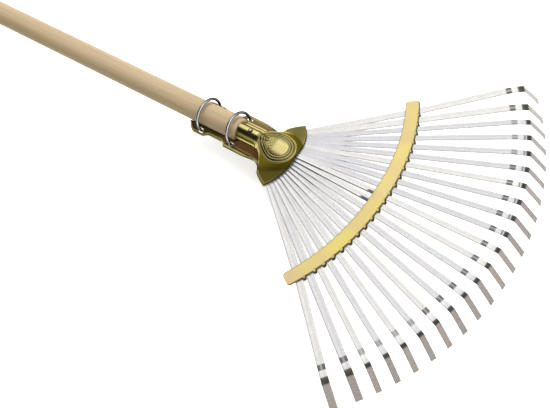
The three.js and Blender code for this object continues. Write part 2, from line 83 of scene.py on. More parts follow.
SHEET = 1.1
CHANNEL_REAR_X = -84.0
WING_SLOPE = math.radians(50)
REAR_WING = 22.8
REAR_CORNER = 7.5
WAIST_WING = 20.0
FRONT_WING = 25.0
NECK_WING = 24.0
RIM_START_Y = 21.5
RIM_HEIGHT = -0.5
RIM_FALL = 0.5
LIP_HEIGHT = 1.2
LIP_REACH = 0.3
TONGUE_RADIUS = 9.7
TONGUE_TOP_Z = 17.2
TONGUE_HALF_ANGLE = math.radians(80)
FLANGE_HALF_WIDTH = 12.4
FLANGE_HEIGHT = 9.3
BLEND_START_X = 5.0
MOUTH_BLEND_RADIUS = 14.0
MOUTH_BACK_RADIUS = 42.0
COVER_FRONT_RADIUS = 60.0
BASE_FRONT_RADIUS = 59.0
MOUTH_OFFSET = 2.0
MOUTH_EDGE_ANGLE = math.radians(47)
MOUTH_TURN = math.radians(1.5)
MOUTH_SIDE_SPREAD = math.radians(0.38)
MOUTH_CROWDING = 1.06
WOOD_CHANNEL = (HANDLE_RADIUS + GAP, math.radians(74), 1.5)  # radius, arc and fold radius
SPIGOT_CHANNEL = (SPIGOT_RADIUS + GAP, math.radians(86), 2.6)
SPIGOT_CHANNEL_X = -10.0  # the channel fits the spigot from here on
REAR_TAPER = (-65.0, -54.0)  # the wings narrow between these X, from the rear lobe to the waist
FRONT_FLARE = (-36.0, -29.0)  # widen between these, to the front lobe, whose edge is a flat rim
NECK_TAPER = (-5.0, 9.0)  # and narrow a little between these, towards the neck

# A head sheet's section runs from its middle to each edge in equal steps
SECTION_STEPS = 12
CHANNEL_STEPS = 4  # this many take it round the bottom of the channel
FOLD_STEPS = 8  # up to this one it goes over the fold
WING_STEPS = 10  # up to this one down the wing
RIM_STEPS = 11  # up to this one across the rim, and the last step turns the lip down
TONGUE_STEPS = 8  # the cover's section goes round the tongue in these, and then along its flange

WIRE_RADIUS = 1.75
RING_RADIUS = 20.0
RING_RISE = 6.0
RINGS = {"rear_ring": (-67.1, -2.8, 7.0), "front_ring": (-21.0, -0.4, 13.0)}  # hinge X and Z, lean
SLOT_HALF_LENGTH = 3.7
SLOT_HALF_WIDTH = 2.1
SLOT_POINTS = 24
CUTTER_REACH = 5.0  # above and below the hinge
NAIL_X = -2.3
NAIL_RADIUS = 1.2
NAIL_HEAD_RADIUS = 2.8
NAIL_HEAD_HEIGHT = 1.5
NAIL_LENGTH = 15.0

# The medallion's outline: an egg, pointed towards the handle
MEDALLION_X = 34.0
MEDALLION_BACK = 24.5
MEDALLION_FRONT = 23.5
MEDALLION_HALF_WIDTH = 19.5
MEDALLION_SLOPE = 0.135
MEDALLION_CROWN = 75.0
SKIRT_FALL = 20.0  # the medallion's skirt falls this much for each unit of reach
SKIRT_BLEND = 6.0  # and runs smoothly into the mouth over this height
SKIRT_STEP = 0.4
MEDALLION_RIDGES = ((0.97, 0.055), (0.81, 0.045), (0.68, 0.04))  # reach and half-width
MEDALLION_GROOVES = (0.89, 0.745, 0.62)  # reach
GROOVE_HALF_WIDTH = 0.035
RIDGE_HEIGHT = 0.45
RIB_PITCH = 2.9
RIB_HEIGHT = 0.07
DOT_PITCH = 4.4
DOT_HEIGHT = 0.22


def lerp(a, b, share):
    """The value a given share of the way from a to b."""
    return a + (b - a) * share


def smoothstep(x, low, high):
    """0 up to low and 1 from high, with a smooth rise between them."""
    share = np.clip((x - low) / (high - low), 0, 1)
    return share * share * (3 - 2 * share)


# ---- Fan of tines ----

TINE_PITCH = math.radians(FAN_ANGLE) / (TINE_COUNT - 1)
MIDDLE_INDEX = (TINE_COUNT + 1) / 2
STRAIGHT_STATIONS = 81


def tine_angle(index):
    """Angle of a tine, or of a place between two, from the fan's middle line."""
    return (MIDDLE_INDEX - index) * TINE_PITCH


def is_edge_tine(tine):
    return tine <= EDGE_TINES or tine > TINE_COUNT - EDGE_TINES


def tine_width(tine):
    return EDGE_TINE_WIDTH if is_edge_tine(tine) else TINE_WIDTH


def stack_height(index, rounding=0.0):
    """Height of a tine where it leaves the stack in the head; rounding blunts the stack's peak."""
    return TOP_TINE_HEIGHT - STACK_STEP * np.hypot(index - TOP_TINE, rounding)


def stack_share(radius):
    """How much of its stack height a tine still has at a radius: none is left at the bend."""
    return (BEND_RADIUS - radius) / (BEND_RADIUS - STACK_RADIUS)


def tine_shift(tine, radius):
    """How far the middle of a tine lies to the left of its straight line."""
    outwards = max(0.0, radius - SPLAY_RADIUS) * math.tan(EDGE_SPLAY)
    return {1: outwards, TINE_COUNT: -outwards}.get(tine, 0.0)


def tine_stations(tine):
    """Radius, height, slope and distance along the middle of a tine."""
    fall = math.atan(stack_height(tine) / (BEND_RADIUS - STACK_RADIUS))
    stations = [
        (radius, stack_height(tine) * stack_share(radius), fall, radius)
        for radius in np.linspace(ROOT_RADIUS, BEND_RADIUS, STRAIGHT_STATIONS)
    ]
    corner_length = CORNER_BEND_RADIUS * math.radians(TIP_ANGLE - CURVE_ANGLE)
    for end_slope, length, steps in (
        (CURVE_ANGLE, CURVE_LENGTH, 14),
        (TIP_ANGLE, corner_length, 9),
        (TIP_ANGLE, TIP_LENGTH, 6),
    ):
        start = stations[-1][2]
        for i in range(steps):
            radius, height, _, run = stations[-1]
            middle = lerp(start, math.radians(end_slope), (i + 0.5) / steps)
            stations.append((
                radius + length / steps * math.cos(middle),
                height - length / steps * math.sin(middle),
                lerp(start, math.radians(end_slope), (i + 1) / steps),
                run + length / steps,
            ))
    return stations


def tine_section(width):
    """Points round a tine's section: rounded edges and a shallow groove down the upper face."""
    half, thick = width / 2, TINE_THICKNESS / 2
    upper = [
        (1.0, 0.0), (0.97, 0.6), (0.88, 0.95), (0.76, 1.0),
        (0.64, 1.0), (0.4, 0.95), (0.16, 0.8), (0.0, 0.55),
    ]
    lower = [(1.0, -0.3), (0.94, -0.9), (0.5, -1.0)]
    left = [(-a * half, b * thick) for a, b in upper]
    right = [(a * half, b * thick) for a, b in upper[-2::-1]]
    under_right = [(a * half, b * thick) for a, b in lower]
    under_left = [(-a * half, b * thick) for a, b in lower[::-1]]
    return left + right + under_right + under_left


# ---- Mesh helpers ----

SHARP_ANGLE = math.radians(50)  # edges sharper than this are shaded as creases
BEVEL_ANGLE = math.radians(60)  # and edges sharper than this are rounded
CUT_SHARP_ANGLE = math.radians(38)  # creases on the sheet that the slots are cut in
BEVEL_SEGMENTS = 2
ROUNDING_STEPS = 8


def fan_placement(record, joints):
    """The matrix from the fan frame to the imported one, worked out from the butt and a hinge."""
    along = SPIGOT_FRONT_X / math.cos(HANDLE_PITCH) - HANDLE_LENGTH
    butt_height = HANDLE_AXIS_Z + along * math.sin(HANDLE_PITCH)
    butt = Vector((along * math.cos(HANDLE_PITCH), 0, butt_height))
    hinge = Vector((RINGS["front_ring"][0], 0, RINGS["front_ring"][1]))
    packed_butt = Vector(record["mounts"][0]["pos_m"])
    swing = next(joint for joint in joints if joint["name"] == "front_ring_swing")
    packed_hinge = Vector(swing["pos_m"])
    span, packed_span = hinge - butt, packed_hinge - packed_butt
    tilt = math.atan2(span.z, span.x) - math.atan2(packed_span.z, packed_span.x)
    turn = Matrix.Rotation(tilt, 4, "Y") @ Matrix.Scale(METRES_PER_MM, 4)
    return Matrix.Translation(packed_hinge - turn @ hinge) @ turn


def new_object(name, points, faces, body, replaced, material, attributes=None):
    """A closed piece from points in the fan frame, riding on a body in place of a CAD node."""
    mesh = bpy.data.meshes.new(name)
    mesh.from_pydata([FAN @ Vector(point) for point in points], [], faces)
    for key, values in (attributes or {}).items():
        layer = mesh.attributes.new(key, "FLOAT", "POINT")
        layer.data.foreach_set("value", np.asarray(values, dtype=np.float32))
    mesh.polygons.foreach_set("use_smooth", [True] * len(mesh.polygons))
    mesh.set_sharp_from_angle(angle=SHARP_ANGLE)
    mesh.update()
    piece = bpy.data.objects.new(name, mesh)
    bpy.context.collection.objects.link(piece)
    mesh.materials.append(material)
    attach(piece, body)
    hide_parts(replaced)
    fix_normals(piece)
    return piece


def soften_edges(piece, width_mm):
    """Rounds a piece's sharp edges a little, so that they catch the light."""
    bevel = piece.modifiers.new("edges", "BEVEL")
    bevel.width = width_mm * METRES_PER_MM
    bevel.segments = BEVEL_SEGMENTS
    bevel.limit_method = "ANGLE"
    bevel.angle_limit = BEVEL_ANGLE
    bevel.harden_normals = True


def loft_faces(loop_count, loop_size):
    """Faces between loops of points that follow each other, with both ends closed."""
    faces = []
    for i in range(loop_count - 1):
        for j in range(loop_size):
            a, b = i * loop_size + j, i * loop_size + (j + 1) % loop_size
            faces.append((a, b, b + loop_size, a + loop_size))
    last = (loop_count - 1) * loop_size
    faces.append(tuple(range(loop_size))[::-1])
    faces.append(tuple(range(last, last + loop_size)))
    return faces


def sheet_shape(grid, thickness):
    """Points and faces of a sheet: its upper face is a grid of points, its thickness under it."""
    rows, columns = grid.shape[:2]
    normals = np.cross(np.gradient(grid, axis=0), np.gradient(grid, axis=1))
    normals /= np.maximum(np.linalg.norm(normals, axis=2, keepdims=True), 1e-9)
    normals *= np.where(normals[rows // 2, columns // 2, 2] < 0, -1, 1)
    points = np.concatenate([grid.reshape(-1, 3), (grid - normals * thickness).reshape(-1, 3)])
    under = rows * columns
    faces = []
    for i in range(rows - 1):
        for j in range(columns - 1):
            a = i * columns + j
            quad = (a, a + 1, a + columns + 1, a + columns)
            faces.append(quad[::-1])
            faces.append(tuple(under + k for k in quad))
    rim = list(range(columns))
    rim += [i * columns + columns - 1 for i in range(1, rows)]
    rim += [(rows - 1) * columns + j for j in range(columns - 2, -1, -1)]
    rim += [i * columns for i in range(rows - 2, 0, -1)]
    for a, b in zip(rim, rim[1:] + rim[:1]):
        faces.append((a, b, b + under, a + under))
    return points, faces


def both_faces(upper, lower):
    """A sheet's attribute: a grid of numbers for its upper face and one number for its lower."""
    return np.concatenate([upper.ravel(), np.full(upper.size, lower)])


def fix_normals(piece):
    """Turns all faces of a closed piece to point out."""
    shape = bmesh.new()
    shape.from_mesh(piece.data)
    bmesh.ops.recalc_face_normals(shape, faces=shape.faces)
    shape.to_mesh(piece.data)
    shape.free()


def turned_shape(profile, axis_origin, axis, up, segments):
    """Points and faces of a turned shape, from (distance along the axis, radius) pairs."""
    side = up.cross(axis)
    points = []
    for along, radius in profile:
        for k in range(segments):
            angle = 2 * math.pi * k / segments
            outwards = up * math.cos(angle) + side * math.sin(angle)
            points.append(axis_origin + axis * along + outwards * radius)
    return points, loft_faces(len(profile), segments)


def rounded_edge(radius, end, rounding, side):
    """Profile points round the edge of a turned shape's front (side 1) or back (side -1)."""
    points = []
    for i in range(ROUNDING_STEPS + 1):
        angle = math.pi / 2 * i / ROUNDING_STEPS
        along = end - side * rounding * (1 - math.sin(angle))
        points.append((along, radius - rounding + rounding * math.cos(angle)))
    return points if side > 0 else points[::-1]


# ---- Materials ----

BLACK = (0, 0, 0)
WHITE = (1, 1, 1)


class Nodes:
    """Short ways to add nodes to a material or a world."""

    def __init__(self, owner, shader="Principled BSDF"):
        owner.use_nodes = True
        self.owner = owner
        self.tree = owner.node_tree
        self.shader = self.tree.nodes[shader]

    def add(self, kind, **settings):
        """A new node with some of its settings changed."""
        node = self.tree.nodes.new(kind)
        for key, value in settings.items():
            setattr(node, key, value)
        return node

    def put(self, value, socket):
        """Links an output to an input, or sets the input's value."""
        if isinstance(value, bpy.types.NodeSocket):
            self.tree.links.new(value, socket)
        else:
            socket.default_value = value

    def attribute(self, name):
        """A number that the points of the mesh carry."""
        return self.add("ShaderNodeAttribute", attribute_name=name).outputs["Fac"]

    def noise(self, scale, detail, roughness=0.5):
        """Noise in object coordinates, with a scale for each axis."""
        mapping = self.add("ShaderNodeMapping")
        self.put(self.add("ShaderNodeTexCoord").outputs["Object"], mapping.inputs["Vector"])
        mapping.inputs["Scale"].default_value = scale
        node = self.add("ShaderNodeTexNoise")
        self.put(mapping.outputs["Vector"], node.inputs["Vector"])
        node.inputs["Scale"].default_value = 1.0
        node.inputs["Detail"].default_value = detail
        node.inputs["Roughness"].default_value = roughness
        return node.outputs["Fac"]

    def between(self, value, low, high, to_low=0.0, to_high=1.0, shape="LINEAR"):
        """Maps a value from one range to another, and keeps it within the new one."""
        node = self.add("ShaderNodeMapRange", interpolation_type=shape)
        self.put(value, node.inputs["Value"])
        node.inputs["From Min"].default_value = low
        node.inputs["From Max"].default_value = high
        node.inputs["To Min"].default_value = to_low
        node.inputs["To Max"].default_value = to_high
        return node.outputs["Result"]

    def maths(self, operation, a, b):
        node = self.add("ShaderNodeMath", operation=operation)
        self.put(a, node.inputs[0])
        self.put(b, node.inputs[1])
        return node.outputs["Value"]

    def ramp(self, value, stops):
        """Colours by value, from (value, colour) stops."""
        low, high = stops[0][0], stops[-1][0]
        node = self.add("ShaderNodeValToRGB")
        self.put(self.between(value, low, high), node.inputs["Fac"])
        ramp = node.color_ramp
        while len(ramp.elements) < len(stops):
            ramp.elements.new(0.5)
        for element, (place, colour) in zip(ramp.elements, stops):
            element.position = (place - low) / (high - low)
            element.color = (*colour, 1)
        return node.outputs["Color"]

    def mix(self, share, a, b, blend="MIX"):
        """Mixes two colours, either of which may be an output."""
        node = self.add("ShaderNodeMix", data_type="RGBA", blend_type=blend)
        self.put(share, node.inputs["Factor"])
        for colour, socket in ((a, node.inputs[6]), (b, node.inputs[7])):
            self.put(colour if isinstance(colour, bpy.types.NodeSocket) else (*colour, 1), socket)
        return node.outputs[2]

    def bump(self, height, strength, distance_mm):
        """Roughens the whole surface by a height."""
        node = self.add("ShaderNodeBump")
        node.inputs["Strength"].default_value = strength
        node.inputs["Distance"].default_value = distance_mm * METRES_PER_MM
        self.put(height, node.inputs["Height"])
        self.put(node.outputs["Normal"], self.shader.inputs["Normal"])

    def finish(self, **inputs):
        """Sets or links the shader's inputs and returns the material or world."""
        for key, value in inputs.items():
            name = key.replace("_", " ").title().replace("Ior", "IOR")
            self.put(value, self.shader.inputs[name])
        return self.owner


def wood_material():
    """Plain turned hardwood: straight grain, fine pores and a slow change of tone along it."""
    n = Nodes(bpy.data.materials.new("turned_wood"))
    pore_brown = (0.30, 0.20, 0.10)
    patch_tan = (0.41, 0.30, 0.165)
    shaded_brown = (0.20, 0.14, 0.06)
    grain = n.noise((6, 420, 420), 5.0, 0.6)
    pores = n.noise((40, 1500, 1500), 2.0)
    patches = n.noise((5, 30, 30), 2.0)
    colour = n.ramp(grain, [
        (0.30, (0.37, 0.273, 0.157)),
        (0.50, (0.42, 0.32, 0.195)),
        (0.70, (0.45, 0.347, 0.218)),
    ])
    colour = n.mix(n.between(pores, 0.66, 0.74, 0.0, 0.25), colour, pore_brown)
    colour = n.mix(n.between(patches, 0.35, 0.65, 0.0, 0.35), colour, patch_tan)
    # Painted shade: the wood is painted darker on its near, lower side.
    painted_underside_shade = n.between(n.attribute("painted_underside_shade"), 0, 1, 0, 0.6)
    colour = n.mix(painted_underside_shade, colour, shaded_brown)
    n.bump(n.maths("ADD", grain, n.maths("MULTIPLY", pores, -0.6)), 0.35, 0.25)
    roughness = n.between(grain, 0.3, 0.7, 0.65, 0.55)
    return n.finish(base_color=colour, roughness=roughness, specular_ior_level=0.25)


def head_material():
    """Brass-plated pressed steel: polished, with painted shade in the grooves and faint waviness.

    Painted reflections: the dim one olive and dull, the brown one red-brown and no longer metal;
    painted shade is nearly black.
    """
    n = Nodes(bpy.data.materials.new("polished_brass_plate"))
    reflection_olive = (0.125, 0.10, 0.004)
    reflection_brown = (0.10, 0.030, 0.010)
    shade_black = (0.03, 0.026, 0.006)
    cloud = n.noise((40, 40, 40), 3.0)
    fine = n.noise((260, 900, 900), 2.0)
    colour = n.ramp(cloud, [(0.3, (0.50, 0.42, 0.16)), (0.7, (0.57, 0.485, 0.20))])
    # Painted reflections and shade: dim olive, dark red-brown and near-black.
    colour = n.mix(n.attribute("olive_painted_reflection"), colour, reflection_olive)
    colour = n.mix(n.attribute("brown_painted_reflection"), colour, reflection_brown)
    colour = n.mix(n.attribute("painted_shade"), colour, shade_black)
    n.bump(n.maths("ADD", cloud, n.maths("MULTIPLY", fine, 0.05)), 0.25, 1.2)
    metal = n.between(n.attribute("brown_painted_reflection"), 0.1, 0.5, 1.0, 0.0)
    heavy_olive_reflection = n.between(n.attribute("olive_painted_reflection"), 0.5, 0.9)
    dullness = n.maths("MAXIMUM", n.attribute("brown_painted_reflection"), heavy_olive_reflection)
    polish = n.between(fine, 0.3, 0.7, 0.18, 0.27)
    roughness = n.maths("ADD", polish, n.between(dullness, 0, 1, 0, 0.3))
    coat = n.between(dullness, 0.2, 0.5, 0.35, 0.0)
    return n.finish(
        base_color=colour,
        metallic=metal,
        roughness=roughness,
        specular_ior_level=0.02,
        specular_tint=(0.75, 0.66, 0.30, 1),
        coat_weight=coat,
    )


def brace_material():
    """Yellow-gold plated strip with a satin, faintly mottled finish."""
    n = Nodes(bpy.data.materials.new("satin_gold_plate"))
    shade_black = (0.03, 0.022, 0.004)
    cloud = n.noise((30, 30, 30), 3.0)
    fine = n.noise((700, 700, 700), 2.0)
    colour = n.ramp(cloud, [
        (0.3, (0.56, 0.43, 0.205)),
        (0.5, (0.57, 0.455, 0.175)),
        (0.7, (0.585, 0.49, 0.125)),
    ])
    # Painted shade: nearly black where the strip's edges and lower face are in shade.
    colour = n.mix(n.attribute("painted_shade"), colour, shade_black)
    n.bump(fine, 0.12, 0.1)
    roughness = n.between(cloud, 0.3, 0.7, 0.5, 0.42)
    return n.finish(base_color=colour, metallic=0.4, roughness=roughness)


def tine_material():
    """Bright plated spring steel, faintly mottled, with painted reflections: dark bands at the bend
    and corner, a painted highlight before the corner and grey at the tips.

    The places of the dark marks are distances along the tine, in millimetres.
    """
    n = Nodes(bpy.data.materials.new("bright_spring_steel"))
    cool_steel, warm_steel = (0.443, 0.435, 0.445), (0.515, 0.504, 0.484)
    brightened = (1.3, 1.3, 1.3)
    bend_black, corner_black = (0.05, 0.05, 0.045), (0.045, 0.045, 0.025)
    line_black, edge_black = (0.08, 0.08, 0.08), (0.05, 0.05, 0.05)
    mottled_grey = (0.35, 0.34, 0.33)
    run = n.attribute("run")
    mottling = n.noise((90, 90, 90), 2.0)

    def mark(*places):
        """1 between the middle two of four places along the tine, and 0 outside the outer two."""
        return n.ramp(run, list(zip(places, (BLACK, WHITE, WHITE, BLACK))))

    colour = n.mix(n.attribute("warmth"), cool_steel, warm_steel)
    # Painted reflections along the tine: a painted highlight before the corner, a black band at the
    # corner and grey at the tip.
    corner = n.ramp(run, [
        (291.5, WHITE),
        (294.5, brightened),
        (302, brightened),
        (303.2, (0.06, 0.06, 0.05)),
        (306.5, (0.03, 0.03, 0.02)),
        (308, (0.45, 0.40, 0.36)),
    ])
    colour = n.mix(1.0, colour, corner, "MULTIPLY")
    # Painted dark reflection at the bend, faint on some tines and lighter along the groove, a
    # painted highlight line.
    bend = mark(286.5, 287.3, 292.8, 293.7)
    bend = n.maths("MULTIPLY", bend, n.between(n.attribute("groove"), 0, 1, 1.0, 0.6))
    colour = n.mix(n.maths("MULTIPLY", bend, n.attribute("painted_bend_band")), colour, bend_black)
    # Painted dark reflections before the corner: a wide band on the edge tines, a thin line on some
    # others.
    wide = n.maths("MULTIPLY", mark(299.8, 301, 307, 307.6), n.attribute("wide_mark"))
    colour = n.mix(wide, colour, corner_black)
    thin = n.maths("MULTIPLY", mark(299.2, 299.8, 301, 301.6), n.attribute("thin_mark"))
    colour = n.mix(thin, colour, line_black)
    colour = n.mix(n.between(mottling, 0.3, 0.7, 0.0, 0.12), colour, mottled_grey)
    # Painted shade under the tine and along its right edge, where the next tine overlaps it.
    colour = n.mix(n.attribute("edge"), colour, edge_black)
    roughness = n.between(mottling, 0.3, 0.7, 0.24, 0.34)
    return n.finish(base_color=colour, metallic=0.5, roughness=roughness)


def ring_material():
    """Bright plated wire, faintly mottled, and darker towards its outline."""
    n = Nodes(bpy.data.materials.new("plated_wire"))
    outline_black = (0.06, 0.055, 0.05)
    mottling = n.noise((500, 500, 500), 2.0)
    colour = n.ramp(mottling, [(0.3, (0.50, 0.50, 0.50)), (0.7, (0.66, 0.66, 0.66))])
    # Painted shade: the wire is painted darker where it turns away from the camera, towards its
    # outline.
    facing = n.add("ShaderNodeLayerWeight").outputs["Facing"]
    colour = n.mix(n.between(facing, 0.06, 0.36), colour, outline_black)
    roughness = n.between(mottling, 0.3, 0.7, 0.10, 0.2)
    return n.finish(base_color=colour, metallic=1.0, roughness=roughness)


def nail_material():
    """Dull steel of the nail, slightly hammered."""
    n = Nodes(bpy.data.materials.new("nail_steel"))
    rim_shade_black = (0.02, 0.014, 0.006)
    dents = n.noise((900, 900, 900), 2.0)
    colour = n.ramp(dents, [(0.3, (0.50, 0.42, 0.28)), (0.7, (0.62, 0.54, 0.38))])
    # Painted shade round the rim of the nail's head.
    colour = n.mix(n.attribute("painted_shade"), colour, rim_shade_black)
    n.bump(dents, 0.3, 0.2)
    roughness = n.between(dents, 0.3, 0.7, 0.25, 0.4)
    return n.finish(base_color=colour, metallic=1.0, roughness=roughness)


# ---- Tines ----

WARM_TINES = {1, 2, 7, 11, 12, 16, 18, 20, 22}  # tines of a warmer grey
# Painted light: the near half's other tines are painted paler and a little warmer than the far
# half's.
NEAR_HALF_LIGHTENING = 0.45  # the other tines of the near half are paler than those of the far half
THIN_MARKS = {4, 5, 6, 7, 8, 9, 10}  # tines with a thin dark line before the corner
FAINT_BANDS = {3, 4, 5, 17, 18, 19, 20}  # tines whose first dark band is faint
# Painted shade: dark lines where tines overlap, the longest ending in a painted shadow blot under
# the brace's rear edge.
# The radius that the dark line along the right edge of a tine runs out to
LINED_TINES = {11: 165, 12: 163, 13: 80, 14: 112, 15: 84, 16: 98, 17: 74, 18: 84}
FULL_LINE_RADIUS = 150  # a line that runs past this one ends in a blot at the brace
BLOT_LENGTH = 14
UNDER_SHADE = 0.3
EDGE_SHADE = 0.15
LINE_SHADE = 0.95
BLOT_SHADE = 0.97


def edge_shade(tine, radius, across, above):
    """How dark a tine is at a point: painted shade lies under it and along its right edge, where
    across is -1.
    """
    if above < 0:
        return UNDER_SHADE
    line_end = LINED_TINES.get(tine, 0)
    full_line = line_end > FULL_LINE_RADIUS
    if full_line and line_end - BLOT_LENGTH < radius < line_end and across < 0.05:
        return BLOT_SHADE
    if across >= -0.7:
        return 0.0
    if radius >= line_end:
        return EDGE_SHADE
    return LINE_SHADE if full_line else LINE_SHADE * (1 - (radius / line_end) ** 6)


def tine_warmth(tine):
    if tine in WARM_TINES:
        return 1.0
    return NEAR_HALF_LIGHTENING if tine > MIDDLE_INDEX else 0.0


def add_tine(tine, material):
    angle = tine_angle(tine) + FAN_TURN
    forward = np.array((math.cos(angle), math.sin(angle), 0))
    side = np.array((-math.sin(angle), math.cos(angle), 0))
    width = tine_width(tine)
    section = tine_section(width)
    points, runs, edges, grooves = [], [], [], []
    for radius, height, slope, run in tine_stations(tine):
        shift = side * tine_shift(tine, radius)
        centre = forward * radius + shift + np.array((0, 0, height))
        up = forward * math.sin(slope) + np.array((0, 0, math.cos(slope)))
        for across, above in section:
            points.append(centre + side * across + up * above)
            runs.append(run)
            edges.append(edge_shade(tine, radius, 2 * across / width, above))
            grooves.append(float(above > 0 and abs(across) < 0.1 * width))
    attributes = {
        "run": runs,
        "edge": edges,
        "groove": grooves,
        "warmth": [tine_warmth(tine)] * len(points),
        "painted_bend_band": [0.6 if tine in FAINT_BANDS else 0.95] * len(points),
        "wide_mark": [0.95 if is_edge_tine(tine) else 0.0] * len(points),
        "thin_mark": [0.75 if tine in THIN_MARKS else 0.0] * len(points),
    }
    faces = loft_faces(len(points) // len(section), len(section))
    name = f"tine_{tine:02d}"
    new_object(f"{name}_strip", points, faces, "rake", name, material, attributes)


# ---- Brace ----

BRACE_EDGE_ROWS = (0, 0.5, 1, 3, 6, 9)  # distances from the rear edge
BRACE_LIP_ROWS = 21
BRACE_SOFTENING = 0.2
DIP_RISE = 0.34  # the share of a gap between tines that the lip takes to come down


def brace_crossing(index, arc_radius):
    """Where an arc of the brace crosses the line of a tine, or of a place between two."""
    angle = tine_angle(index)
    along = BRACE_CENTRE_X * math.cos(angle)
    radius = along + math.sqrt(along**2 + arc_radius**2 - BRACE_CENTRE_X**2)
    return radius * math.cos(angle), radius * math.sin(angle)


def brace_end_point(side_sign, from_end, arc_radius):
    """The point of an arc of the brace at a distance from one of its ends."""
    angle = side_sign * (math.radians(BRACE_END_ANGLE) - from_end / BRACE_REAR_RADIUS)
    return BRACE_CENTRE_X + arc_radius * math.cos(angle), arc_radius * math.sin(angle)


def brace_columns():
    """Columns across the brace, from its left end to its right one.

    Each says how far the corner is rounded off there, how deep the lip dips, and where an arc of
    a given radius passes.
    """
    columns = []
    ends = [BRACE_CORNER * (1 - math.cos(math.pi / 2 * i / 6)) for i in range(7)]

    def add_ends(side_sign, distances):
        for from_end in distances:
            inset = BRACE_CORNER - math.sqrt(BRACE_CORNER**2 - (BRACE_CORNER - from_end) ** 2)
            at = functools.partial(brace_end_point, side_sign, from_end)
            columns.append((inset, 0.0, at))

    def add_index(index, dip):
        columns.append((0.0, dip, functools.partial(brace_crossing, index)))

    def half_share(tine):
        reach = math.hypot(*brace_crossing(tine, BRACE_FRONT_RADIUS))
        return (tine_width(tine) / 2 + GAP / 2) / (reach * TINE_PITCH)

    add_ends(1, ends)
    for tine in range(1, TINE_COUNT + 1):
        for part in (-1, -0.5, 0, 0.5, 1):
            add_index(tine + part * half_share(tine), 0.0)
        if tine < TINE_COUNT:
            start, end = tine + half_share(tine), tine + 1 - half_share(tine + 1)
            for part in np.linspace(0, 1, 15)[1:-1]:
                dip = float(smoothstep(min(part, 1 - part), 0, DIP_RISE))
                add_index(lerp(start, end, part), dip)
    add_ends(-1, ends[::-1])
    return columns


def brace_grid(rows, height_at, scallop=0.0):
    """Points of a strip of the brace, from the radii of its rows and a rule for its height."""
    middle = (rows[0] + rows[-1]) / 2
    grid = []
    for inset, dip, at in brace_columns():
        line = []
        for arc_radius in rows:
            turned_down = smoothstep(arc_radius, LIP_START_RADIUS, BRACE_FRONT_RADIUS)
            back = scallop * (1 - dip) * turned_down
            x, y = at(arc_radius - back + inset * np.sign(middle - arc_radius))
            angle, reach = math.atan2(y, x), math.hypot(x, y)
            index = MIDDLE_INDEX - angle / TINE_PITCH
            turned = angle + FAN_TURN
            z = height_at(index, stack_share(reach), arc_radius, dip)
            line.append((reach * math.cos(turned), reach * math.sin(turned), z))
        grid.append(line)
    return np.array(grid)


def add_brace(material):
    """The strip over the tines, with its scalloped lip, and the narrower strip under them."""
    clearance = TINE_THICKNESS / 2 + GAP + BRACE_THICKNESS + STACK_STEP / 4
    edge_rows = BRACE_REAR_RADIUS + np.array(BRACE_EDGE_ROWS)
    lip_rows = np.linspace(LIP_START_RADIUS, BRACE_FRONT_RADIUS, BRACE_LIP_ROWS)
    rows = np.concatenate([edge_rows, lip_rows])

    def upper(index, share, arc_radius, dip):
        turned = smoothstep(arc_radius, LIP_START_RADIUS, BRACE_FRONT_RADIUS)
        return stack_height(index) * share + clearance - LIP_DROP * turned * dip

    def lower(index, share, _arc_radius, _dip):
        return stack_height(index, 0.5) * share - TINE_THICKNESS / 2 - GAP

    def add_strip(node, grid, painted_shade):
        points, faces = sheet_shape(grid, BRACE_THICKNESS)
        name = f"{node}_strip"
        attributes = {"painted_shade": painted_shade}
        piece = new_object(name, points, faces, "rake", node, material, attributes)
        soften_edges(piece, BRACE_SOFTENING)

    # Painted shade along the lip's front edge, deepest in the dips between tines, and along the
    # rear edge; the upper strip's lower face is in painted shade.
    dips = np.array([dip for _, dip, _ in brace_columns()])
    front_shade = lerp(0.85, 0.97, smoothstep(dips, 0.0, 0.3))
    front_line = smoothstep(rows, BRACE_FRONT_RADIUS - 2.4, BRACE_FRONT_RADIUS - 1.7)
    rear_line = 1 - smoothstep(rows, BRACE_REAR_RADIUS + 0.4, BRACE_REAR_RADIUS + 1)
    painted_shade = np.outer(front_shade, front_line) + 0.6 * rear_line
    add_strip("brace_upper", brace_grid(rows, upper, SCALLOP), both_faces(painted_shade, 0.95))

    rear = BRACE_REAR_RADIUS + LOWER_STRIP_INSET
    grid = brace_grid(np.linspace(rear, rear + LOWER_STRIP_WIDTH, 6), lower)
    # Painted shade: the lower strip, under the tines, is darker all over.
    add_strip("brace_lower", grid, both_faces(np.full(grid.shape[:2], 0.2), 0.2))


# ---- Head ----

# Rows of a head sheet's points along the handle, where it spreads out, and round the mouth
COVER_ROWS = (24, 90, 44)
BASE_ROWS = (110, 44, 16)
COVER_COLUMNS = 145
COVER_SOFTENING = 0.3
BASE_SOFTENING = 0.25


def wing_half_width(x):
    """Half the width of the channel with its wings at x."""
    lobe_arc = np.clip(CHANNEL_REAR_X + REAR_CORNER - x, 0, REAR_CORNER)
    rounding = REAR_CORNER - np.sqrt(REAR_CORNER**2 - lobe_arc**2)
    rear = lerp(REAR_WING, WAIST_WING, smoothstep(x, *REAR_TAPER))
    front = lerp(FRONT_WING, NECK_WING, smoothstep(x, *NECK_TAPER))
    return lerp(rear, front, smoothstep(x, *FRONT_FLARE)) - rounding


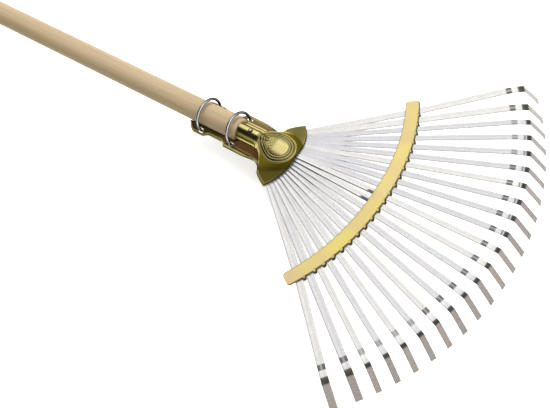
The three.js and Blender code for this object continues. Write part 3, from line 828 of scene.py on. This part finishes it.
def channel_point(x, t):
    """A point of the channel and its wings, for t from -1 at the right edge to 1 at the left."""
    narrowed = smoothstep(x, SHOULDER_X + GAP, SPIGOT_CHANNEL_X)
    radius, arc, fold = (lerp(a, b, narrowed) for a, b in zip(WOOD_CHANNEL, SPIGOT_CHANNEL))
    axis = HANDLE_AXIS_Z + x * math.tan(HANDLE_PITCH)

    def folded(angle):
        return (
            (radius + fold) * math.sin(arc) - fold * math.sin(angle),
            axis - (radius + fold) * math.cos(arc) + fold * math.cos(angle),
        )

    step = SECTION_STEPS * abs(t)
    start = folded(-WING_SLOPE)
    edge_y = wing_half_width(x)

    def sloping(y):
        return y, start[1] - (y - start[0]) * math.tan(WING_SLOPE)

    rimmed = smoothstep(x, *FRONT_FLARE)
    slope_knee = sloping(lerp(start[0], edge_y, 0.6))
    knee = [lerp(a, b, rimmed) for a, b in zip(slope_knee, (RIM_START_Y, RIM_HEIGHT))]
    edge = [lerp(a, b, rimmed) for a, b in zip(sloping(edge_y), (edge_y, RIM_HEIGHT - RIM_FALL))]
    if step <= CHANNEL_STEPS:
        angle = arc * step / CHANNEL_STEPS
        y, z = radius * math.sin(angle), axis - radius * math.cos(angle)
    elif step <= FOLD_STEPS:
        share = (step - CHANNEL_STEPS) / (FOLD_STEPS - CHANNEL_STEPS)
        y, z = folded(lerp(arc, -WING_SLOPE, share))
    elif step <= WING_STEPS:
        share = (step - FOLD_STEPS) / (WING_STEPS - FOLD_STEPS)
        y, z = (lerp(a, b, share) for a, b in zip(start, knee))
    elif step <= RIM_STEPS:
        y, z = (lerp(a, b, step - WING_STEPS) for a, b in zip(knee, edge))
    else:
        turn = math.pi / 2 * (step - RIM_STEPS)
        y = edge[0] + LIP_REACH * math.sin(turn)
        z = edge[1] - LIP_HEIGHT * (1 - math.cos(turn))
    return np.array((x, math.copysign(y, t), z))


def mouth_half_angle(radius):
    return MOUTH_EDGE_ANGLE + (COVER_FRONT_RADIUS - radius) * MOUTH_SIDE_SPREAD


def mouth_height(radius, angle, rounding):
    """Height of the middle of the stack of tines in the mouth."""
    index = MIDDLE_INDEX - (angle - FAN_TURN) / TINE_PITCH
    return stack_height(index, rounding) * stack_share(max(radius, MOUTH_BACK_RADIUS))


def base_mouth_point(radius, t):
    """A point of the base's half of the mouth, whose sides turn up to meet the cover."""
    part = np.clip(MOUTH_CROWDING * t, -1, 1)
    angle = MOUTH_TURN + part * mouth_half_angle(radius)
    rise = (2 * MOUTH_OFFSET - GAP) * np.clip(SECTION_STEPS * abs(t) - RIM_STEPS, 0, 1)
    low = mouth_height(radius, angle, 0.5) - MOUTH_OFFSET
    return np.array((radius * math.cos(angle), radius * math.sin(angle), low + rise))


def tongue_point(x, t):
    """A point of the cover's round tongue and the flange beside it."""
    step = SECTION_STEPS * abs(t)
    centre_z = TONGUE_TOP_Z - TONGUE_RADIUS
    angle = TONGUE_HALF_ANGLE * min(step, TONGUE_STEPS) / TONGUE_STEPS
    y, z = TONGUE_RADIUS * math.sin(angle), centre_z + TONGUE_RADIUS * math.cos(angle)
    if step > TONGUE_STEPS:
        share = (step - TONGUE_STEPS) / (SECTION_STEPS - TONGUE_STEPS)
        y, z = lerp(y, FLANGE_HALF_WIDTH, share), lerp(z, FLANGE_HEIGHT, share)
    return np.array((x, math.copysign(y, t), z + x * math.tan(HANDLE_PITCH)))


def cover_mouth_point(radius, t):
    """A point of the cover's half of the mouth."""
    angle = MOUTH_TURN + t * mouth_half_angle(radius)
    z = mouth_height(radius, angle, 0.4) + MOUTH_OFFSET + SHEET + GAP
    return np.array((radius * math.cos(angle), radius * math.sin(angle), z))


def head_grid(ends, channel, mouth, columns, row_counts):
    """Points of a head sheet, from its rear X to the radius of its front edge."""
    rear_x, front_radius = ends
    rows = []
    for x in np.linspace(rear_x, BLEND_START_X, row_counts[0], endpoint=False):
        rows.append([channel(x, t) for t in columns])
    for share in np.linspace(0, 1, row_counts[1], endpoint=False):
        x = lerp(BLEND_START_X, MOUTH_BACK_RADIUS, share)
        radius = lerp(MOUTH_BLEND_RADIUS, MOUTH_BACK_RADIUS, share)
        blend = smoothstep(share, 0, 1)
        rows.append([lerp(channel(x, t), mouth(radius, t), blend) for t in columns])
    for radius in np.linspace(MOUTH_BACK_RADIUS, front_radius, row_counts[2]):
        rows.append([mouth(radius, t) for t in columns])
    return np.array(rows)


def medallion_reach(x, y):
    """0 at the medallion's middle and 1 on its outline."""
    ahead = x > MEDALLION_X
    power = np.where(ahead, 2.0, 1.5)
    length = np.where(ahead, MEDALLION_FRONT, MEDALLION_BACK)
    along = (np.abs(x - MEDALLION_X) / length) ** power
    across = (np.abs(y) / MEDALLION_HALF_WIDTH) ** power
    return (along + across) ** (1 / power)


def ridge(value, centre, half_width):
    """A rounded ridge: 1 at the centre and 0 beyond the half-width."""
    return np.clip(1 - ((value - centre) / half_width) ** 2, 0, 1)


def press_medallion(grid):
    """Raises the medallion on a grid, with its ridges, ribs and dots.

    Returns the painted shade and the painted dim reflection of each point of it.
    """
    x, y, z = grid[..., 0], grid[..., 1], grid[..., 2]
    reach = medallion_reach(x, y)
    plateau = TONGUE_TOP_Z - MEDALLION_SLOPE * (x - BLEND_START_X) - y**2 / MEDALLION_CROWN
    side = SKIRT_FALL * np.maximum(0, reach - 1)
    skirt = plateau - side - SKIRT_STEP
    blend = np.clip(1 - np.abs(z - skirt) / SKIRT_BLEND, 0, 1) ** 2 * SKIRT_BLEND / 4
    blend = np.where(x > MEDALLION_X - 20, blend, 0) * smoothstep(reach, 1.0, 1.1)
    raised = np.maximum(z, skirt) + blend
    ridges = sum(ridge(reach, centre, half) for centre, half in MEDALLION_RIDGES)
    inside = reach < 1.05
    front = smoothstep(x, MEDALLION_X - 3, MEDALLION_X - 2) * (1 - smoothstep(reach, 0.54, 0.60))
    rib = 0.5 + 0.5 * np.cos(2 * math.pi * (x - MEDALLION_X) / RIB_PITCH)
    weave = np.abs(np.cos(2 * math.pi * x / DOT_PITCH) + np.cos(2 * math.pi * y / DOT_PITCH))
    dots = smoothstep(weave, 0.9, 1.4) * (1 - smoothstep(reach, 0.50, 0.56))
    dots = dots * (x < MEDALLION_X - 4)
    relief = RIDGE_HEIGHT * ridges + RIB_HEIGHT * rib * front + DOT_HEIGHT * dots
    grid[..., 2] = raised + np.where(inside, relief, 0)
    # Painted shade in the grooves and between the ribs; painted dim reflection, more at the rear
    # and between the ridges, less at the front.
    grooves = sum(ridge(reach, centre, GROOVE_HALF_WIDTH) for centre in MEDALLION_GROOVES)
    painted_shade = np.where(inside, 0.75 * grooves + 0.25 * (1 - rib) * front, 0)
    rear = (reach < 0.62) * (1 - smoothstep(x, MEDALLION_X - 6, MEDALLION_X + 2)) * (1 - dots)
    between = (1 - ridges) * smoothstep(reach, 0.60, 0.64)
    dim_reflection = np.where(inside, 0.3 + 0.3 * rear + 0.35 * between - 0.3 * front, 0)
    return painted_shade, dim_reflection


def add_cover(material):
    """The pressed cover: tongue, medallion and the upper half of the mouth."""
    columns = np.linspace(-1, 1, COVER_COLUMNS)
    ends = (SHOULDER_X, COVER_FRONT_RADIUS)
    grid = head_grid(ends, tongue_point, cover_mouth_point, columns, COVER_ROWS)
    painted_shade, dim_reflection = press_medallion(grid)
    x, y = grid[..., 0], grid[..., 1]
    reach, radius, side = medallion_reach(x, y), np.hypot(x, y), np.abs(columns)
    # The flare round the medallion is dull, with painted dim reflection that is deeper on the near
    # side, painted highlights along its edges and a painted shade outline
    spread = smoothstep(x, 14, 24)
    flare = smoothstep(reach, 1.0, 1.04) * spread
    front_highlight = smoothstep(radius, COVER_FRONT_RADIUS - 1.6, COVER_FRONT_RADIUS - 0.8)
    edge_highlight = np.maximum(front_highlight, smoothstep(side, 0.955, 0.97))
    front_line = smoothstep(radius, COVER_FRONT_RADIUS - 0.7, COVER_FRONT_RADIUS - 0.4)
    outline = np.maximum(front_line, smoothstep(side, 0.98, 0.988) * spread)
    # Painted dim reflection on the tongue's flanks.
    step = side * SECTION_STEPS
    flank = smoothstep(step, 4.5, 6) * (1 - smoothstep(step, 9.8, 11))
    flank = flank * (1 - smoothstep(x, 6, 14))
    flare_reflection = flare * lerp(0.90, 0.62, smoothstep(y, -12, 12)) * (1 - 0.7 * edge_highlight)
    skirt = flare * (1 - smoothstep(reach, 1.3, 1.4))
    olive_painted_reflection = np.maximum(flare_reflection + dim_reflection + 0.8 * flank, 0.95 * skirt)
    painted_shade = np.maximum(painted_shade, 0.85 * outline)
    # Painted brown reflection, a little, on the near side of the flare.
    brown_painted_reflection = 0.1 * flare * smoothstep(-y, -5, 15)
    points, faces = sheet_shape(grid, SHEET)
    # The lower face gets painted shade and full painted dim reflection.
    attributes = {
        "painted_shade": both_faces(painted_shade, 0.8),
        "olive_painted_reflection": both_faces(olive_painted_reflection, 1.0),
        "brown_painted_reflection": both_faces(brown_painted_reflection, 0.0),
    }
    name, node = "head_cover_plate", "head_cover"
    piece = new_object(name, points, faces, "rake", node, material, attributes)
    soften_edges(piece, COVER_SOFTENING)


def cut_slots(piece):
    """Cuts the four slots for the rings through the wings, with rounded ends."""
    for x, z, _ in RINGS.values():
        for side_sign in (1, -1):
            y = side_sign * math.sqrt(RING_RADIUS**2 - RING_RISE**2)
            corner = SLOT_HALF_WIDTH
            outline = []
            for k in range(SLOT_POINTS):
                angle = 2 * math.pi * k / SLOT_POINTS
                shift = math.copysign(SLOT_HALF_LENGTH - corner, math.cos(angle))
                outline.append((x + shift + corner * math.cos(angle), y + corner * math.sin(angle)))
            heights = (z - CUTTER_REACH, z + CUTTER_REACH)
            points = [FAN @ Vector((*place, height)) for height in heights for place in outline]
            mesh = bpy.data.meshes.new("slot")
            mesh.from_pydata(points, [], loft_faces(len(heights), SLOT_POINTS))
            cutter = bpy.data.objects.new("slot", mesh)
            bpy.context.collection.objects.link(cutter)
            fix_normals(cutter)
            cut = piece.modifiers.new("slot", "BOOLEAN")
            cut.object = cutter
            cut.operation = "DIFFERENCE"
            cut.solver = "EXACT"
            chosen = {"object": piece, "active_object": piece, "selected_objects": [piece]}
            with bpy.context.temp_override(**chosen):
                bpy.ops.object.modifier_apply(modifier=cut.name)
            bpy.data.objects.remove(cutter)


def base_columns():
    """Places across the base, from -1 to 1, with a set number on each part of its section."""
    half = np.concatenate([
        np.linspace(0, CHANNEL_STEPS, 14, endpoint=False),
        np.linspace(CHANNEL_STEPS, FOLD_STEPS, 12, endpoint=False),
        np.linspace(FOLD_STEPS, WING_STEPS, 6, endpoint=False),
        np.linspace(WING_STEPS, RIM_STEPS, 4, endpoint=False),
        np.linspace(RIM_STEPS, SECTION_STEPS, 6),
    ]) / SECTION_STEPS
    return np.concatenate([-half[:0:-1], half])


def add_base(material):
    """The folded base: channel, wings with their slots, and the lower half of the mouth."""
    columns = base_columns()
    ends = (CHANNEL_REAR_X, BASE_FRONT_RADIUS)
    grid = head_grid(ends, channel_point, base_mouth_point, columns, BASE_ROWS)
    x, y = grid[..., 0], np.abs(grid[..., 1])
    far = grid[..., 1] > 0
    # Painted brown reflection and painted shade lie in the valleys between channel and rim, and the
    # lips and far side are in painted shade
    rim = lerp(wing_half_width(x) - 1.2, RIM_START_Y - 0.5, smoothstep(x, *FRONT_FLARE))
    valley = smoothstep(y, 9, 12) * (1 - smoothstep(y, rim - 1.5, rim))
    valley = valley * (1 - smoothstep(x, 30, 40))
    on_lip = (np.abs(columns) > 11.2 / SECTION_STEPS)[None, :] & (x < 30)
    lip = np.where(on_lip, np.where(far | (x > FRONT_FLARE[0]), 0.85, 0.3), 0)
    side = np.where(far & (x < 24), 0.45, 0) * (1 - valley)
    painted_shade = valley * lerp(1.0, 0.3, smoothstep(x, -45, -30)) + lip + side
    painted_shade = np.minimum(painted_shade, 0.98)
    # Painted dim olive reflection, more towards the front; the lower face has it and some painted
    # shade.
    olive_painted_reflection = lerp(0.15, 0.45, smoothstep(x, -40, -30))
    brown_painted_reflection = valley * np.where(far, 0.78, 0.9)
    points, faces = sheet_shape(grid, SHEET)
    attributes = {
        "painted_shade": both_faces(painted_shade, 0.4),
        "olive_painted_reflection": both_faces(olive_painted_reflection, 0.5),
        "brown_painted_reflection": both_faces(brown_painted_reflection, 0.0),
    }
    name, node = "socket_base_plate", "socket_base"
    piece = new_object(name, points, faces, "rake", node, material, attributes)
    cut_slots(piece)
    piece.data.set_sharp_from_angle(angle=CUT_SHARP_ANGLE)
    soften_edges(piece, BASE_SOFTENING)


# ---- Handle, nail and rings ----

POINT = 0.01  # radius of the tips that close a turned shape
HANDLE_SEGMENTS = 96
HANDLE_STATIONS = 41
SHOULDER_ROUNDING = 3.5
SPIGOT_ROUNDING = 3.0
NAIL_SEGMENTS = 40
NAIL_TIP_LENGTH = 3.0
RING_POINTS = 120
WIRE_POINTS = 20
SEAM_SHARE = 0.9  # how thick the wire is at its seam


def add_handle(material):
    """The turned wooden handle, with the spigot that the nail holds in the head."""
    axis = Vector((math.cos(HANDLE_PITCH), 0, math.sin(HANDLE_PITCH)))
    up = Vector((-math.sin(HANDLE_PITCH), 0, math.cos(HANDLE_PITCH)))
    front = SPIGOT_FRONT_X / math.cos(HANDLE_PITCH)
    shoulder = SHOULDER_X / math.cos(HANDLE_PITCH)
    butt = front - HANDLE_LENGTH
    profile = [(butt, POINT)]
    profile += rounded_edge(HANDLE_RADIUS, butt, BUTT_ROUNDING, -1)
    for along in np.linspace(butt + 10, shoulder - 10, HANDLE_STATIONS):
        profile.append((float(along), HANDLE_RADIUS))
    profile += rounded_edge(HANDLE_RADIUS, shoulder, SHOULDER_ROUNDING, 1)
    profile += [(shoulder, SPIGOT_RADIUS)]
    profile += rounded_edge(SPIGOT_RADIUS, front, SPIGOT_ROUNDING, 1)
    profile += [(front, POINT)]
    centre = Vector((0, 0, HANDLE_AXIS_Z))
    points, faces = turned_shape(profile, centre, axis, up, HANDLE_SEGMENTS)
    turns = 2 * math.pi * np.arange(HANDLE_SEGMENTS) / HANDLE_SEGMENTS
    # Painted shade, darker towards the near side and the bottom of the handle.
    shade = smoothstep(-0.85 * np.sin(turns) - 0.5 * np.cos(turns), -0.3, 0.8)
    attributes = {"painted_underside_shade": np.tile(shade, len(profile))}
    new_object("handle_wood", points, faces, "rake", "handle", material, attributes)


def add_nail(material):
    """The nail through the tongue and the spigot, with a domed head."""
    profile = [
        (-NAIL_LENGTH, POINT),
        (NAIL_TIP_LENGTH - NAIL_LENGTH, NAIL_RADIUS),
        (0, NAIL_RADIUS),
        (0, NAIL_HEAD_RADIUS),
    ]
    for i in range(1, ROUNDING_STEPS + 1):
        angle = math.pi / 2 * i / ROUNDING_STEPS
        radius = max(NAIL_HEAD_RADIUS * math.cos(angle), POINT)
        profile.append((NAIL_HEAD_HEIGHT * math.sin(angle), radius))
    seat = Vector((NAIL_X, 0, TONGUE_TOP_Z + GAP / 2))
    axis, up = Vector((0, 0, 1)), Vector((1, 0, 0))
    points, faces = turned_shape(profile, seat, axis, up, NAIL_SEGMENTS)
    # Painted shade on the outer part of the domed head.
    shaded_rim = [float(radius > 0.6 * NAIL_HEAD_RADIUS) for _, radius in profile]
    attributes = {"painted_shade": np.repeat(shaded_rim, NAIL_SEGMENTS)}
    name, node = "nail_turned", "handle_nail"
    new_object(name, points, faces, "rake", node, material, attributes)


def add_ring(name, material):
    """A ring of round wire, with the fine seam where its two ends meet under the channel."""
    x, z, lean = RINGS[name]
    turn = Matrix.Translation((x, 0, z)) @ Matrix.Rotation(-math.radians(lean), 4, "Y")
    points = []
    faces = []
    for i in range(RING_POINTS):
        angle = 2 * math.pi * i / RING_POINTS - math.pi / 2
        wire = WIRE_RADIUS * (SEAM_SHARE if i == 0 else 1)
        row, next_row = i * WIRE_POINTS, (i + 1) % RING_POINTS * WIRE_POINTS
        for j in range(WIRE_POINTS):
            around = 2 * math.pi * j / WIRE_POINTS
            reach = RING_RADIUS + wire * math.cos(around)
            height = RING_RISE + reach * math.sin(angle)
            points.append(turn @ Vector((wire * math.sin(around), reach * math.cos(angle), height)))
            k = (j + 1) % WIRE_POINTS
            faces.append((row + j, row + k, next_row + k, next_row + j))
    new_object(f"{name}_wire", points, faces, name, name, material)


# ---- Floor, light and camera ----

FLOOR_GLOW = 0.55  # a light table: the floor shines a little, which fills the shadows
FLOOR_HALF_SIZE = 40.0  # metres


def add_floor():
    """A wide, pale floor under the rake."""
    mesh = bpy.data.meshes.new("floor")
    size = FLOOR_HALF_SIZE
    corners = [(-size, -size, 0), (size, -size, 0), (size, size, 0), (-size, size, 0)]
    mesh.from_pydata(corners, [], [(0, 1, 2, 3)])
    floor = bpy.data.objects.new("floor", mesh)
    bpy.context.collection.objects.link(floor)
    n = Nodes(bpy.data.materials.new("pale_floor"))
    speckle = n.noise((8, 8, 8), 2.0)
    colour = n.ramp(speckle, [(0.3, (0.90, 0.90, 0.90)), (0.7, (0.93, 0.93, 0.93))])
    material = n.finish(
        base_color=colour, roughness=0.9, emission_color=colour, emission_strength=FLOOR_GLOW
    )
    mesh.materials.append(material)


# Soft boxes and dark flags that the metal reflects: direction, half-angle, width of the soft
# edge and, for a box, brightness
SOFT_BOXES = [
    ((-0.27, 0.36, 0.90), 18, 8, 1.2),
    ((-0.42, 0.66, 0.62), 10, 8, 0.75),
    ((0.85, 0.0, 0.50), 38, 12, 0.65),
    ((-0.92, 0.05, 0.38), 16, 10, 0.6),
]
DARK_FLAGS = [
    ((-0.43, 0.89, 0.10), 12, 8),
    ((-0.45, -0.28, 0.85), 15, 9),
    ((-0.43, -0.62, 0.60), 24, 10),
]

FLAG_DEPTH = 0.95
SKY_LEVEL = 0.5  # how bright the studio is overhead
# Colours of the studio from the horizon to overhead, by height
SKY = [
    (0.0, (0.85, 0.85, 0.86)),
    (0.12, (0.8, 0.8, 0.816)),
    (0.25, (0.46, 0.46, 0.4692)),
    (0.6, (0.50, 0.50, 0.51)),
    (1.0, (SKY_LEVEL, SKY_LEVEL, SKY_LEVEL)),
]


def add_world():
    """A soft grey studio: pale near the horizon, with soft boxes and dark flags overhead."""
    world = bpy.data.worlds.new("studio")
    bpy.context.scene.world = world
    n = Nodes(world, "Background")
    direction = n.add("ShaderNodeTexCoord").outputs["Generated"]

    def within(toward, half_angle, edge):
        """1 inside a cone round a direction and 0 outside its soft edge."""
        dot = n.add("ShaderNodeVectorMath", operation="DOT_PRODUCT")
        n.put(direction, dot.inputs[0])
        n.put(Vector(toward).normalized(), dot.inputs[1])
        outer = math.cos(math.radians(half_angle + edge))
        inner = math.cos(math.radians(half_angle))
        return n.between(dot.outputs["Value"], outer, inner, shape="SMOOTHSTEP")

    strength = 1.0
    for toward, half_angle, edge in DARK_FLAGS:
        shade = n.maths("MULTIPLY", within(toward, half_angle, edge), FLAG_DEPTH)
        strength = n.maths("MULTIPLY", strength, n.maths("SUBTRACT", 1.0, shade))
    for toward, half_angle, edge, level in SOFT_BOXES:
        glow = n.maths("MULTIPLY", within(toward, half_angle, edge), level / SKY_LEVEL)
        strength = n.maths("ADD", strength, glow)
    height = n.add("ShaderNodeSeparateXYZ")
    n.put(direction, height.inputs["Vector"])
    n.finish(color=n.ramp(height.outputs["Z"], SKY), strength=strength)


def add_lamp(name, kind, energy, toward, **settings):
    """A lamp for the matt surfaces: the polished ones see only the studio."""
    data = bpy.data.lights.new(name, kind)
    data.energy = energy
    for key, value in settings.items():
        setattr(data, key, value)
    lamp = bpy.data.objects.new(name, data)
    bpy.context.collection.objects.link(lamp)
    lamp.rotation_mode = "QUATERNION"
    lamp.rotation_quaternion = Vector(toward).to_track_quat("Z", "Y")
    lamp.visible_glossy = False


CAMERA_LENS = 64.95
CAMERA_PLACE = (537.5, -400.4, 925.1)
CAMERA_TURN = (30.294, 10.987, 35.710)  # degrees about the fan frame's X, Y and Z


def add_camera():
    """The camera looks down on the fan from the right, with the handle running up to the left."""
    data = bpy.data.cameras.new("camera")
    data.lens = CAMERA_LENS
    data.clip_start = 0.01
    camera = bpy.data.objects.new("camera", data)
    bpy.context.collection.objects.link(camera)
    turn = Euler([math.radians(angle) for angle in CAMERA_TURN], "XYZ").to_matrix()
    fan_turn = FAN.to_3x3().normalized()
    camera.rotation_mode = "QUATERNION"
    camera.rotation_quaternion = (fan_turn @ turn).to_quaternion()
    camera.location = FAN @ Vector(CAMERA_PLACE)
    bpy.context.scene.camera = camera


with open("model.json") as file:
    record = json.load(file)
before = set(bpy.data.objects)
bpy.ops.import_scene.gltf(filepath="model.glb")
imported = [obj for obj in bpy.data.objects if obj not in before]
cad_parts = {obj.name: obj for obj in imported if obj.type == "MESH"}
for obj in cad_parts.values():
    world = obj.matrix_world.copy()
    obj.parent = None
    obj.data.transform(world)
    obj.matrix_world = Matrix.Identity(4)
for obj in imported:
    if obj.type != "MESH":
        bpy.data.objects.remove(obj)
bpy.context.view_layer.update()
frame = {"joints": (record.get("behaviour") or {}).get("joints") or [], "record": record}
FAN = fan_placement(frame["record"], frame["joints"])

add_camera()
add_handle(wood_material())
add_nail(nail_material())
head = head_material()
add_base(head)
add_cover(head)
wire = ring_material()
for ring_name in RINGS:
    add_ring(ring_name, wire)
add_brace(brace_material())
steel = tine_material()
for tine_number in range(1, TINE_COUNT + 1):
    add_tine(tine_number, steel)
add_floor()
add_world()
add_lamp("key", "SUN", 2.4, (-0.25, 0.50, 0.82), angle=math.radians(40))
add_lamp("fill", "SUN", 0.3, (0.3, -0.4, 0.85), angle=math.radians(80))
bpy.context.scene.view_settings.view_transform = "Standard"
